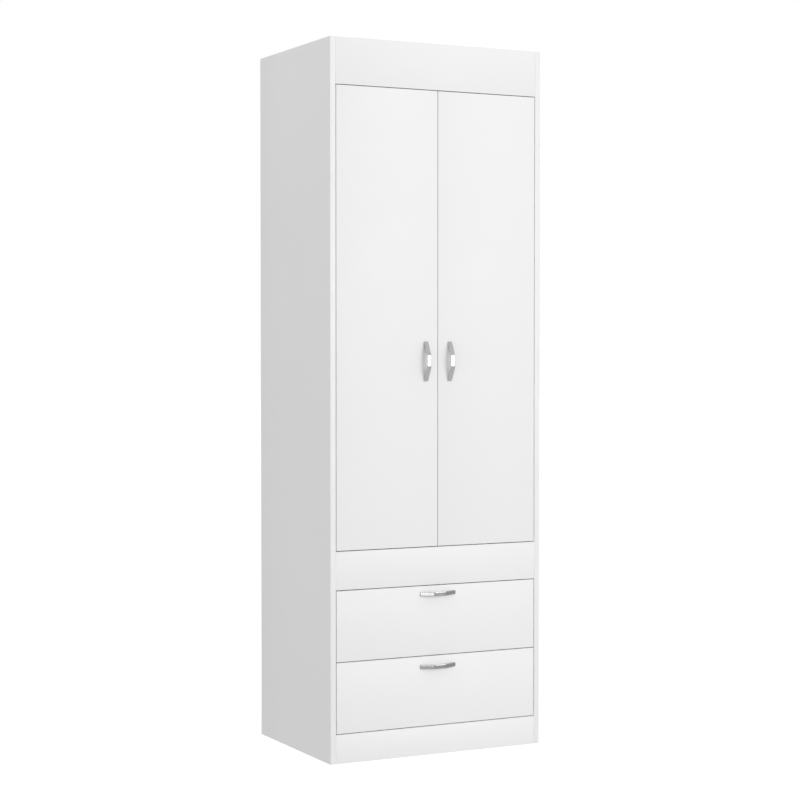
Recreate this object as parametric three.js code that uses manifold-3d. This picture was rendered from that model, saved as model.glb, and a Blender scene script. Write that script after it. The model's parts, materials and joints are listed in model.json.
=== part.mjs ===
// A two-door wardrobe with two drawers, in white coated board.
// Millimetres, +Z up. The front looks along -Y and the floor is Z = 0.
// The origin is on the floor, under the middle of the whole object's box.

import * as THREE from 'three';
import { mergeVertices } from 'three/addons/utils/BufferGeometryUtils.js';
import Module from 'manifold-3d';

const wasm = await Module();
wasm.setup();

// ---------- driving dimensions ----------

const WIDTH = 600;
const HEIGHT = 1800;
const SIDE_DEPTH = 440;
const BOARD = 15;
const FRONT_GAP = 2;

const PLINTH_HEIGHT = 73;
const DRAWER_FRONT_HEIGHT = 177;
const RAIL_HEIGHT = 96;
const FASCIA_HEIGHT = 116;

const HARDBOARD = 3;
const BACK_INSET = 2;
const BACK_JOINT_GAP = 1.5;
const STRIP_LIP = 1;
const STRIP_HEIGHT = 14;

const SHELF_UNDERSIDE = 1500;
const SHELF_SETBACK = 30;

const HANDLE_LENGTH = 100;
const HANDLE_RISE = 20;
const HANDLE_FLAT = 32;
const HANDLE_BEND = 5;
const HANDLE_WIDTH = 11;
const HANDLE_FOOT = 10;
const HANDLE_END = 3;
const HANDLE_THICKNESS = 4;
const DOOR_HANDLE_HEIGHT = 1000;
const DOOR_HANDLE_INSET = 34;
const DRAWER_HANDLE_DROP = { upper: 20, lower: 26 };

const HINGE_END_DISTANCE = 100;
const HINGE_SEGMENTS = 32;

const RUNNER_LENGTH = 350;
const RUNNER_SPACE = 13;
const RUNNER_HEIGHT = 35;
const DRAWER_TRAVEL = 260;
const DRAWER_BOARD = 12;
const DRAWER_SIDE_HEIGHT = 130;
const DRAWER_FLOOR_RISE = 10;

// ---------- places worked out from them ----------

const HALF = WIDTH / 2;
const INNER = HALF - BOARD;
const DEPTH = HANDLE_RISE + SIDE_DEPTH + HARDBOARD + STRIP_LIP;
const FRONT = HANDLE_RISE - DEPTH / 2;
const BEHIND_FRONT = FRONT + BOARD;
const SIDE_BACK = FRONT + SIDE_DEPTH;

const LOWER_FRONT_Z = PLINTH_HEIGHT + FRONT_GAP;
const UPPER_FRONT_Z = LOWER_FRONT_Z + DRAWER_FRONT_HEIGHT + FRONT_GAP;
const RAIL_Z = UPPER_FRONT_Z + DRAWER_FRONT_HEIGHT + FRONT_GAP;
const RAIL_TOP = RAIL_Z + RAIL_HEIGHT;
const FASCIA_Z = HEIGHT - FASCIA_HEIGHT;
const DOOR_Z = RAIL_TOP + FRONT_GAP;
const DOOR_TOP = FASCIA_Z - FRONT_GAP;
const DOOR_INNER = FRONT_GAP / 2;
const DOOR_OUTER = INNER - FRONT_GAP;

const HINGE_HEIGHTS = {
  upper: DOOR_TOP - HINGE_END_DISTANCE,
  middle: (DOOR_TOP + DOOR_Z) / 2,
  lower: DOOR_Z + HINGE_END_DISTANCE,
};

// ---------- finishes ----------

function finish(colour, roughness, metalness) {
  return new THREE.MeshStandardMaterial({ color: colour, roughness, metalness });
}

const WHITE_BOARD = finish(0xf2f2f2, 0.45, 0);
const HARDBOARD_SHEET = finish(0xc9a880, 0.8, 0);
const SATIN_METAL = finish(0xb4b5b6, 0.35, 1);
const ZINC_STEEL = finish(0xc4c8cc, 0.4, 1);
const CHROME = finish(0xdddddd, 0.12, 1);
const WHITE_PLASTIC = finish(0xe9e9e6, 0.55, 0);

// ---------- making and joining solids ----------

function named(name, geometry, material) {
  const mesh = new THREE.Mesh(geometry, material);
  mesh.name = name;
  return mesh;
}

// A box given by its lowest and highest value along each axis.
function boxGeometry([x0, x1], [y0, y1], [z0, z1]) {
  const geometry = new THREE.BoxGeometry(x1 - x0, y1 - y0, z1 - z0);
  return geometry.translate((x0 + x1) / 2, (y0 + y1) / 2, (z0 + z1) / 2);
}

function board(name, x, y, z, material = WHITE_BOARD) {
  return named(name, boxGeometry(x, y, z), material);
}

function toSolid(geometry) {
  const bare = geometry.clone();
  bare.deleteAttribute('normal');
  bare.deleteAttribute('uv');
  const merged = mergeVertices(bare, 1e-4);
  const vertProperties = new Float32Array(merged.attributes.position.array);
  const triVerts = new Uint32Array(merged.index.array);
  return new wasm.Manifold(new wasm.Mesh({ numProp: 3, vertProperties, triVerts }));
}

function toGeometry(solid) {
  const mesh = solid.getMesh();
  const geometry = new THREE.BufferGeometry();
  geometry.setAttribute('position', new THREE.BufferAttribute(mesh.vertProperties, 3));
  geometry.setIndex(new THREE.BufferAttribute(mesh.triVerts, 1));
  geometry.computeVertexNormals();
  return geometry;
}

function join(...geometries) {
  return toGeometry(geometries.map(toSolid).reduce((whole, piece) => whole.add(piece)));
}

function cut(geometry, ...tools) {
  return toGeometry(tools.map(toSolid).reduce((whole, tool) => whole.subtract(tool), toSolid(geometry)));
}

// A cylinder along Y between two depths.
function cylinderAlongY(x, z, radius, y0, y1) {
  const geometry = new THREE.CylinderGeometry(radius, radius, y1 - y0, HINGE_SEGMENTS);
  return geometry.translate(x, (y0 + y1) / 2, z);
}

// A flat outline in X and Y, raised along Z about a middle height.
function slab(shape, height, middleZ) {
  const geometry = new THREE.ExtrudeGeometry(shape, { depth: height, bevelEnabled: false, curveSegments: 8 });
  return geometry.translate(0, 0, middleZ - height / 2);
}

// A flat outline in Y and Z, drawn as X and Y of the shape, run along X between two places.
function barAlongX(shape, x0, x1) {
  const geometry = new THREE.ExtrudeGeometry(shape, { depth: x1 - x0, bevelEnabled: false, curveSegments: 8 });
  geometry.rotateX(Math.PI / 2);
  geometry.rotateZ(Math.PI / 2);
  return geometry.translate(x0, 0, 0);
}

// A flat outline in X and Z, drawn as X and Y of the shape, run along Y between two depths.
function barAlongY(shape, y0, y1) {
  const geometry = new THREE.ExtrudeGeometry(shape, { depth: y1 - y0, bevelEnabled: false });
  geometry.rotateX(Math.PI / 2);
  return geometry.translate(0, y1, 0);
}

function polygon(points) {
  return new THREE.Shape(points.map(([x, y]) => new THREE.Vector2(x, y)));
}

// ---------- carcass ----------

// side is -1 for the left of the wardrobe as seen from the front, and 1 for the right.
const SIDES = { left: -1, right: 1 };

// Orders two values, so that a range can be mirrored by a sign.
function range(a, b) {
  return a < b ? [a, b] : [b, a];
}

function sidePanel(name, side) {
  return board(`${name}_side_panel`, range(side * INNER, side * HALF), [FRONT, SIDE_BACK], [0, HEIGHT]);
}

function carcassBoards() {
  const between = [-INNER, INNER];
  const full = [BEHIND_FRONT, SIDE_BACK];
  const face = [FRONT, BEHIND_FRONT];
  const shelfDepth = [FRONT + SHELF_SETBACK, SIDE_BACK];
  const rearPlinthBack = SIDE_BACK - BOARD;
  return [
    board('top_panel', between, full, [HEIGHT - BOARD, HEIGHT]),
    board('hat_shelf', between, shelfDepth, [SHELF_UNDERSIDE, SHELF_UNDERSIDE + BOARD]),
    board('divider_panel', between, full, [RAIL_TOP - BOARD, RAIL_TOP]),
    board('bottom_panel', between, full, [PLINTH_HEIGHT - BOARD, PLINTH_HEIGHT]),
    board('fascia_board', between, face, [FASCIA_Z, HEIGHT]),
    board('mid_rail', between, face, [RAIL_Z, RAIL_TOP]),
    board('plinth_board', between, face, [0, PLINTH_HEIGHT]),
    board('rear_plinth', between, [rearPlinthBack - BOARD, rearPlinthBack], [0, PLINTH_HEIGHT - BOARD]),
  ];
}

// Two hardboard sheets are nailed on the rear edges, and an H strip joins them at mid height.
function backPanels() {
  const across = [-HALF + BACK_INSET, HALF - BACK_INSET];
  const thick = [SIDE_BACK, SIDE_BACK + HARDBOARD];
  const middle = HEIGHT / 2;
  const halfGap = BACK_JOINT_GAP / 2;
  return [
    board('upper_back_panel', across, thick, [middle + halfGap, HEIGHT - BACK_INSET], HARDBOARD_SHEET),
    board('lower_back_panel', across, thick, [BACK_INSET, middle - halfGap], HARDBOARD_SHEET),
    backJointStrip(middle),
  ];
}

function backJointStrip(middle) {
  const clearance = 0.25;
  const web = BACK_JOINT_GAP / 2 - clearance;
  const lip = STRIP_HEIGHT / 2;
  const inside = SIDE_BACK;
  const outside = SIDE_BACK + HARDBOARD;
  const outline = polygon([
    [inside - STRIP_LIP, -lip], [inside, -lip], [inside, -web], [outside, -web],
    [outside, -lip], [outside + STRIP_LIP, -lip], [outside + STRIP_LIP, lip], [outside, lip],
    [outside, web], [inside, web], [inside, lip], [inside - STRIP_LIP, lip],
  ]);
  const end = INNER - clearance;
  const geometry = barAlongX(outline, -end, end).translate(0, 0, middle);
  return named('back_joint_strip', geometry, WHITE_PLASTIC);
}

// ---------- hanging rod and its sockets ----------

const ROD_HEIGHT = 30;
const ROD_THICKNESS = 15;
const ROD_WALL = 1;
const ROD_DROP = 48;
const ROD_Z = SHELF_UNDERSIDE - ROD_DROP;
const ROD_Y = (BEHIND_FRONT + SIDE_BACK) / 2;
const SOCKET_PLATE = 2.5;
const SOCKET_DEPTH = 12;
const SOCKET_WALL = 2.5;

// A standing oval: two half circles joined by straight sides.
function ovalPath(path, thickness, height) {
  const radius = thickness / 2;
  const reach = height / 2 - radius;
  path.absarc(0, reach, radius, 0, Math.PI, false);
  path.absarc(0, -reach, radius, Math.PI, 2 * Math.PI, false);
  path.closePath();
  return path;
}

function hangingRod() {
  const tube = ovalPath(new THREE.Shape(), ROD_THICKNESS, ROD_HEIGHT);
  tube.holes.push(ovalPath(new THREE.Path(), ROD_THICKNESS - 2 * ROD_WALL, ROD_HEIGHT - 2 * ROD_WALL));
  const end = INNER - SOCKET_PLATE - 0.5;
  const mesh = named('hanging_rod', barAlongX(tube, -end, end), CHROME);
  mesh.position.set(0, ROD_Y, ROD_Z);
  return mesh;
}

// A U cradle, open upwards so that the rod drops in, on a plate with two screw ears.
function rodSocket(name, side) {
  const slack = 0.5;
  const inner = ROD_THICKNESS / 2 + slack;
  const outer = inner + SOCKET_WALL;
  const bottom = ROD_THICKNESS / 2 - ROD_HEIGHT / 2;
  const rim = ROD_HEIGHT / 2 - SOCKET_WALL;
  const cradle = new THREE.Shape();
  cradle.moveTo(outer, rim);
  cradle.lineTo(inner, rim);
  cradle.lineTo(inner, bottom);
  cradle.absarc(0, bottom, inner, 0, Math.PI, true);
  cradle.lineTo(-inner, rim);
  cradle.lineTo(-outer, rim);
  cradle.lineTo(-outer, bottom);
  cradle.absarc(0, bottom, outer, Math.PI, 2 * Math.PI, false);
  const plate = new THREE.Shape();
  const earReach = 22;
  const earRadius = 7;
  plate.absarc(earReach - earRadius, 0, earRadius, -Math.PI / 2, Math.PI / 2, false);
  plate.lineTo(outer, ROD_HEIGHT / 2);
  plate.lineTo(-outer, ROD_HEIGHT / 2);
  plate.absarc(earRadius - earReach, 0, earRadius, Math.PI / 2, 1.5 * Math.PI, false);
  plate.lineTo(-outer, bottom - inner);
  plate.lineTo(outer, bottom - inner);
  const wall = side * INNER;
  const geometry = join(
    barAlongX(plate, ...range(wall, wall - side * SOCKET_PLATE)),
    barAlongX(cradle, ...range(wall - side * SOCKET_PLATE / 2, wall - side * SOCKET_DEPTH)),
  );
  const mesh = named(`${name}_rod_socket`, geometry, CHROME);
  mesh.position.set(0, ROD_Y, ROD_Z);
  return mesh;
}

// ---------- door hinges ----------
// Each is a cup hinge with one pin. Places are given as the distance in from the side panel's
// inner face and the distance back from the front plane, with the door shut.

const PIN_IN = 14;
const PIN_BACK = 6;
const PIN_RADIUS = 1.2;
const EYE_RADIUS = 2.3;
const PIN_SLACK = 0.25;
const CUP_EDGE_DISTANCE = 5;
const BORE_RADIUS = 17.5;
const BORE_DEPTH = 12.5;
const CUP_IN = FRONT_GAP + CUP_EDGE_DISTANCE + BORE_RADIUS;
const CUP_RADIUS = 17.2;
const POCKET_RADIUS = 15.7;
const CUP_BOTTOM = BOARD - BORE_DEPTH + 0.2;
const POCKET_BOTTOM = CUP_BOTTOM + 0.7;
const FLANGE_RADIUS = 19;
const FLANGE_START = BOARD + 0.1;
const FLANGE_END = BOARD + 1.2;
const FLANGE_EAR = [10, 29];

function hingeX(side, inwards) {
  return side * (INNER - inwards);
}

// The gooseneck arm: an eye round the pin, a foot along the cup's floor, a leg out of the cup's
// mouth, and a cranked tail down to the plate on the side panel.
function hingeArm(name, side, z) {
  const armWidth = 12;
  const legNear = 27.5;
  const legFar = 31.5;
  const point = (inwards, back) => [hingeX(side, inwards), FRONT + back];
  const shape = new THREE.Shape();
  shape.moveTo(...point(PIN_IN, PIN_BACK - EYE_RADIUS));
  const bends = [
    [legFar - 1.5, PIN_BACK - EYE_RADIUS], [legFar, PIN_BACK - EYE_RADIUS + 1.5], [legFar, 26],
    [12, 40], [12, 68], [3, 68], [3, 38],
    [legNear, 23], [legNear, PIN_BACK + EYE_RADIUS], [PIN_IN, PIN_BACK + EYE_RADIUS],
  ];
  for (const bend of bends) {
    shape.lineTo(...point(...bend));
  }
  // The eye's outer half circle turns towards the side panel.
  const clockwise = side > 0;
  shape.absarc(...point(PIN_IN, PIN_BACK), EYE_RADIUS, Math.PI / 2, -Math.PI / 2, clockwise);
  const hole = new THREE.Path();
  hole.absarc(...point(PIN_IN, PIN_BACK), PIN_RADIUS + PIN_SLACK, 0, 2 * Math.PI, false);
  shape.holes.push(hole);
  const plate = boxGeometry(range(hingeX(side, 0), hingeX(side, 3.5)), [FRONT + 42, FRONT + 64], [z - 24, z + 24]);
  return named(`${name}_hinge_arm`, join(slab(shape, armWidth, z), plate), ZINC_STEEL);
}

// The cup pressed into the door, with its flange on the door's back and the pin across its pocket.
function hingeCup(name, side, z) {
  const x = hingeX(side, CUP_IN);
  const ears = boxGeometry(
    [x - FLANGE_EAR[0], x + FLANGE_EAR[0]],
    [FRONT + FLANGE_START, FRONT + FLANGE_END],
    [z - FLANGE_EAR[1], z + FLANGE_EAR[1]],
  );
  const shell = join(
    cylinderAlongY(x, z, CUP_RADIUS, FRONT + CUP_BOTTOM, FRONT + FLANGE_END),
    cylinderAlongY(x, z, FLANGE_RADIUS, FRONT + FLANGE_START, FRONT + FLANGE_END),
    ears,
  );
  const pocket = cylinderAlongY(x, z, POCKET_RADIUS, FRONT + POCKET_BOTTOM, FRONT + FLANGE_END + 1);
  const pinHalfLength = 12.6;
  const pin = new THREE.CylinderGeometry(PIN_RADIUS, PIN_RADIUS, 2 * pinHalfLength, 12);
  pin.rotateX(Math.PI / 2);
  pin.translate(hingeX(side, PIN_IN), FRONT + PIN_BACK, z);
  return named(`${name}_hinge_cup`, join(cut(shell, pocket), pin), ZINC_STEEL);
}

// ---------- handles ----------

// Carries an outline up one lean, over the flat and down the other, bent softly at both corners.
function overTheBow(outline, way, flat, height, lean) {
  const start = height - lean * HANDLE_BEND;
  outline.lineTo(-way * (flat + HANDLE_BEND), -start);
  outline.quadraticCurveTo(-way * flat, -height, -way * (flat - HANDLE_BEND), -height);
  outline.lineTo(way * (flat - HANDLE_BEND), -height);
  outline.quadraticCurveTo(way * flat, -height, way * (flat + HANDLE_BEND), -start);
}

// A bow handle lying along X, its feet on Y = 0 and its bow towards -Y.
function bowHandle(name) {
  const end = HANDLE_LENGTH / 2;
  const heel = end - HANDLE_FOOT;
  const flat = HANDLE_FLAT / 2;
  const underFlat = flat - 1;
  const under = HANDLE_RISE - HANDLE_THICKNESS;
  const edge = 0.8;
  const outline = new THREE.Shape();
  outline.moveTo(-end, 0);
  outline.lineTo(-end, -HANDLE_END);
  overTheBow(outline, 1, flat, HANDLE_RISE, (HANDLE_RISE - HANDLE_END) / (end - flat));
  outline.lineTo(end, -HANDLE_END);
  outline.lineTo(end, 0);
  outline.lineTo(heel, 0);
  overTheBow(outline, -1, underFlat, under, under / (heel - underFlat));
  outline.lineTo(-heel, 0);
  outline.closePath();
  const geometry = new THREE.ExtrudeGeometry(outline, {
    depth: HANDLE_WIDTH - 2 * edge,
    curveSegments: 5,
    bevelThickness: edge,
    bevelSize: edge,
    bevelOffset: -edge,
    bevelSegments: 2,
  });
  geometry.translate(0, 0, edge - HANDLE_WIDTH / 2);
  return named(name, geometry, SATIN_METAL);
}

// ---------- doors ----------

const CATCH_Z = SHELF_UNDERSIDE - 8;
const STRIKE_THICKNESS = 1;

function doorPanel(name, side) {
  const panel = boxGeometry(range(side * DOOR_INNER, side * DOOR_OUTER), [FRONT, BEHIND_FRONT], [DOOR_Z, DOOR_TOP]);
  const x = hingeX(side, CUP_IN);
  const bores = Object.values(HINGE_HEIGHTS).map(
    (z) => cylinderAlongY(x, z, BORE_RADIUS, BEHIND_FRONT - BORE_DEPTH, BEHIND_FRONT + 1),
  );
  return named(`${name}_door_panel`, cut(panel, ...bores), WHITE_BOARD);
}

// The small steel plate on the door's back that the magnetic catch holds.
function strikePlate(name, side) {
  const reach = range(side * 4, side * 22);
  const thick = [BEHIND_FRONT, BEHIND_FRONT + STRIKE_THICKNESS];
  return board(`${name}_strike_plate`, reach, thick, [CATCH_Z - 5, CATCH_Z + 5], ZINC_STEEL);
}

function door(name, side) {
  const group = new THREE.Group();
  const handle = bowHandle(`${name}_door_handle`);
  handle.rotation.y = Math.PI / 2;
  handle.position.set(side * DOOR_HANDLE_INSET, FRONT, DOOR_HANDLE_HEIGHT);
  group.add(doorPanel(name, side), handle, strikePlate(name, side));
  for (const [level, z] of Object.entries(HINGE_HEIGHTS)) {
    group.add(hingeCup(`${name}_${level}`, side, z));
  }
  return group;
}

// A double magnetic catch under the front of the hat shelf. It also stops both doors.
function doorCatch() {
  const start = BEHIND_FRONT + STRIKE_THICKNESS + 0.3;
  return board('door_catch', [-25, 25], [start, start + 32], [SHELF_UNDERSIDE - 14, SHELF_UNDERSIDE], WHITE_PLASTIC);
}

// ---------- drawer runners ----------
// Ball-bearing runners in three parts. Their outlines give the distance from the side panel's
// inner face and the height from the runner's middle.

const RUNNER_SHEET = 1.2;
const RUNNER_FRONT = BEHIND_FRONT + 2;
const CAGE_LENGTH = RUNNER_LENGTH - DRAWER_TRAVEL - 2;
const RUNNER_RISE = 50;

// A channel's outline: its web from near to web, its two flanges out to tip.
function channelOutline(side, near, webFar, tip, halfHeight, sheet) {
  const x = (q) => side * (INNER - q);
  const inner = halfHeight - sheet;
  return polygon([
    [x(near), -halfHeight], [x(tip), -halfHeight], [x(tip), -inner], [x(webFar), -inner],
    [x(webFar), inner], [x(tip), inner], [x(tip), halfHeight], [x(near), halfHeight],
  ]);
}

function cabinetRunner(name, side, z) {
  const outline = channelOutline(side, 0, RUNNER_SHEET, 9.5, RUNNER_HEIGHT / 2, RUNNER_SHEET);
  const geometry = barAlongY(outline, RUNNER_FRONT, RUNNER_FRONT + RUNNER_LENGTH).translate(0, 0, z);
  return named(`${name}_cabinet_runner`, geometry, ZINC_STEEL);
}

function drawerRunner(name, side, z) {
  const web = RUNNER_SPACE - RUNNER_SHEET;
  const outline = channelOutline(side, RUNNER_SPACE, web, 4, 12, RUNNER_SHEET);
  const geometry = barAlongY(outline, RUNNER_FRONT, RUNNER_FRONT + RUNNER_LENGTH).translate(0, 0, z);
  return named(`${name}_drawer_runner`, geometry, ZINC_STEEL);
}

// The strip that spaces the balls. It travels half as far as the drawer.
function ballCage(name, side, z) {
  const outline = channelOutline(side, 2.2, 3.2, 9, 14.75, 1);
  const start = RUNNER_FRONT + DRAWER_TRAVEL / 2 + 1;
  const geometry = barAlongY(outline, start, start + CAGE_LENGTH).translate(0, 0, z);
  return named(`${name}_ball_cage`, geometry, WHITE_PLASTIC);
}

// ---------- drawers ----------

const BOX_OUTER = INNER - RUNNER_SPACE;
const BOX_INNER = BOX_OUTER - DRAWER_BOARD;
const BOX_BACK = BEHIND_FRONT + RUNNER_LENGTH;
const BOX_RISE = 12;
const FLOOR_SLACK = 0.25;
const FLOOR_GROOVE = 5;

// A side board, with a groove for the drawer's floor along its inner face.
function drawerSide(name, side, bottom) {
  const groove = side * (BOX_INNER + FLOOR_GROOVE);
  const low = DRAWER_FLOOR_RISE;
  const high = low + HARDBOARD + 2 * FLOOR_SLACK;
  const outline = polygon([
    [side * BOX_OUTER, 0], [side * BOX_INNER, 0], [side * BOX_INNER, low], [groove, low],
    [groove, high], [side * BOX_INNER, high], [side * BOX_INNER, DRAWER_SIDE_HEIGHT],
    [side * BOX_OUTER, DRAWER_SIDE_HEIGHT],
  ]);
  const geometry = barAlongY(outline, BEHIND_FRONT, BOX_BACK).translate(0, 0, bottom);
  return named(name, geometry, WHITE_BOARD);
}

function drawer(name, frontZ) {
  const group = new THREE.Group();
  const bottom = frontZ + BOX_RISE;
  const floor = bottom + DRAWER_FLOOR_RISE + FLOOR_SLACK;
  const floorReach = BOX_INNER + FLOOR_GROOVE - FLOOR_SLACK;
  const handle = bowHandle(`${name}_drawer_handle`);
  handle.position.set(0, FRONT, frontZ + DRAWER_FRONT_HEIGHT - DRAWER_HANDLE_DROP[name]);
  group.add(
    board(`${name}_drawer_front`, [-DOOR_OUTER, DOOR_OUTER], [FRONT, BEHIND_FRONT],
      [frontZ, frontZ + DRAWER_FRONT_HEIGHT]),
    board(`${name}_drawer_back`, [-BOX_INNER, BOX_INNER], [BOX_BACK - DRAWER_BOARD, BOX_BACK],
      [floor + HARDBOARD, bottom + DRAWER_SIDE_HEIGHT - BOX_RISE]),
    board(`${name}_drawer_floor`, [-floorReach, floorReach], [BEHIND_FRONT, BOX_BACK],
      [floor, floor + HARDBOARD], HARDBOARD_SHEET),
    handle,
  );
  for (const [sideName, side] of Object.entries(SIDES)) {
    group.add(drawerSide(`${name}_drawer_${sideName}_side`, side, bottom));
    group.add(drawerRunner(`${name}_${sideName}`, side, bottom + RUNNER_RISE));
  }
  return group;
}

// ---------- the whole wardrobe ----------

const wardrobe = new THREE.Group();
wardrobe.add(...carcassBoards(), ...backPanels(), hangingRod(), doorCatch());

for (const [name, side] of Object.entries(SIDES)) {
  wardrobe.add(sidePanel(name, side), rodSocket(name, side), door(name, side));
  for (const [level, z] of Object.entries(HINGE_HEIGHTS)) {
    wardrobe.add(hingeArm(`${name}_${level}`, side, z));
  }
}

for (const [name, frontZ] of Object.entries({ upper: UPPER_FRONT_Z, lower: LOWER_FRONT_Z })) {
  wardrobe.add(drawer(name, frontZ));
  for (const [sideName, side] of Object.entries(SIDES)) {
    const z = frontZ + BOX_RISE + RUNNER_RISE;
    wardrobe.add(cabinetRunner(`${name}_${sideName}`, side, z), ballCage(`${name}_${sideName}`, side, z));
  }
}

export default wardrobe;
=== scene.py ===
"""A white two-door wardrobe with two drawers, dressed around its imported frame.

Everything is in metres in the frame's own axes: +Z up, the front looking along -Y.
"""

import json
import math

import bmesh
import bpy
from mathutils import Matrix, Vector


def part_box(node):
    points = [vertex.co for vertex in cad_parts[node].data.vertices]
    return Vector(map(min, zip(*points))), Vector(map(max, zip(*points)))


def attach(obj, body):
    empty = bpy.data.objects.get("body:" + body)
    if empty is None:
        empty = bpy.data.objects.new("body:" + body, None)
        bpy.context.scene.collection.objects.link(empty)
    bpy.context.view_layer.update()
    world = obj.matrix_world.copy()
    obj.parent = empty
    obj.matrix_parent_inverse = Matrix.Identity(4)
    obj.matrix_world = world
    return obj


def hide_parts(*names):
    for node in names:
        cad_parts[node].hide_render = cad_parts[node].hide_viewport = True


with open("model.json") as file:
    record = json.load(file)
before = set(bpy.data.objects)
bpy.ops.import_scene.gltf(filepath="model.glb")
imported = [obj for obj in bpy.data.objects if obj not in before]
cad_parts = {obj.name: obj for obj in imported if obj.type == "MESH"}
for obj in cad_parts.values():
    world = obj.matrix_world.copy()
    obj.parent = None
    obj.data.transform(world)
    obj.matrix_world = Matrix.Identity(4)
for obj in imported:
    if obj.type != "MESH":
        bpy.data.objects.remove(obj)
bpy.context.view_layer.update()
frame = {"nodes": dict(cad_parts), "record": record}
scene = bpy.context.scene

MM = 0.001
SIDES = {"left": -1, "right": 1}
LEVELS = ("upper", "middle", "lower")
DRAWERS = ("upper", "lower")
LEVEL_BOARDS = ("top_panel", "hat_shelf", "divider_panel", "bottom_panel")
BACK_SHEETS = ("upper_back_panel", "lower_back_panel")


# ---------- camera, light and floor ----------

# The camera's angles are in degrees and its lens in mm.
CAMERA_PLACE = (-2.3452, -4.6253, 1.0372)
CAMERA_HEADING = 26.89
CAMERA_DIP = 1.552
CAMERA_LENS = 88.72
CAMERA_REACH = 60
# How bright the room is, by the height of the direction looked in: -1 straight down, 1 straight up.
ROOM_IN_FRONT = [
    (-1.0, 0.76), (-0.4, 0.74), (-0.22, 0.42), (-0.06, 0.42), (0.1, 0.75), (0.5, 0.81), (1.0, 0.81),
]
ROOM_BEHIND = [(-1.0, 0.7), (-0.5, 0.72), (0.5, 0.81), (1.0, 0.81)]
# Each softbox: where it stands, what it faces, its width and height, and its power in watts.
SOFTBOXES = {
    "front_right_softbox": ((2.2, -6.9, 1.8), (0, -0.2, 1.8), (4.4, 3.0), 166),
    "low_left_softbox": ((-0.93, -2.15, 0.2), (0, -0.2, 0.4), (0.6, 0.4), 1.3),
    "overhead_softbox": ((0, -0.2, 9), (0, -0.2, 0), (2, 2), 120),
}
# The directions, by their Y, over which the room in front gives way to the room behind.
ROOM_TURNS = (-0.15, 0.25)
FLOOR_REACH = 30
FLOOR_PAINT = (0.9, 0.9, 0.9, 1)
FLOOR_GLOW = 0.4
WHITE_LIGHT = (1, 1, 1, 1)


def make_camera():
    data = bpy.data.cameras.new("camera")
    data.lens = CAMERA_LENS
    data.clip_end = CAMERA_REACH
    camera = bpy.data.objects.new("camera", data)
    camera.location = CAMERA_PLACE
    camera.rotation_euler = (math.radians(90 - CAMERA_DIP), 0, math.radians(-CAMERA_HEADING))
    scene.collection.objects.link(camera)
    scene.camera = camera


def softbox(name, place, aim, size, power):
    """A rectangular light that the camera doesn't see, turned to face aim."""
    data = bpy.data.lights.new(name, "AREA")
    data.shape = "RECTANGLE"
    data.size, data.size_y = size
    data.energy = power
    light = bpy.data.objects.new(name, data)
    light.location = place
    light.visible_camera = False
    light.rotation_euler = (Vector(aim) - Vector(place)).to_track_quat("-Z", "Y").to_euler()
    scene.collection.objects.link(light)


def room_levels(nodes, links, height, levels):
    """The room's brightness in a direction whose height, -1 to 1, is given."""
    share = nodes.new("ShaderNodeMapRange")
    share.inputs["From Min"].default_value = -1
    links.new(height, share.inputs["Value"])
    ramp = nodes.new("ShaderNodeValToRGB")
    stops = ramp.color_ramp.elements
    while len(stops) < len(levels):
        stops.new(position=0.5)
    for stop, (place, light) in zip(stops, levels):
        stop.position = (place + 1) / 2
        stop.color = (light, light, light, 1)
    links.new(share.outputs["Result"], ramp.inputs["Fac"])
    return ramp.outputs["Color"]


def make_lights():
    """A pale room, darker low in front, the softboxes, and a white backdrop for the camera."""
    for name, settings in SOFTBOXES.items():
        softbox(name, *settings)
    world = bpy.data.worlds.new("room")
    world.use_nodes = True
    nodes, links = world.node_tree.nodes, world.node_tree.links
    room = nodes["Background"]
    room.inputs["Color"].default_value = WHITE_LIGHT
    looking = nodes.new("ShaderNodeTexCoord")
    direction = nodes.new("ShaderNodeSeparateXYZ")
    links.new(looking.outputs["Generated"], direction.inputs["Vector"])
    behind = nodes.new("ShaderNodeMapRange")
    behind.interpolation_type = "SMOOTHSTEP"
    behind.inputs["From Min"].default_value, behind.inputs["From Max"].default_value = ROOM_TURNS
    links.new(direction.outputs["Y"], behind.inputs["Value"])
    strength = nodes.new("ShaderNodeMix")
    strength.data_type = "RGBA"
    links.new(behind.outputs["Result"], strength.inputs["Factor"])
    height = direction.outputs["Z"]
    for socket, levels in (("A", ROOM_IN_FRONT), ("B", ROOM_BEHIND)):
        links.new(room_levels(nodes, links, height, levels), strength.inputs[socket])
    links.new(strength.outputs["Result"], room.inputs["Strength"])
    backdrop = nodes.new("ShaderNodeBackground")
    backdrop.inputs["Color"].default_value = WHITE_LIGHT
    path = nodes.new("ShaderNodeLightPath")
    mix = nodes.new("ShaderNodeMixShader")
    links.new(path.outputs["Is Camera Ray"], mix.inputs["Fac"])
    links.new(room.outputs["Background"], mix.inputs[1])
    links.new(backdrop.outputs["Background"], mix.inputs[2])
    links.new(mix.outputs["Shader"], nodes["World Output"].inputs["Surface"])
    scene.world = world
    scene.view_settings.view_transform = "Standard"


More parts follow.
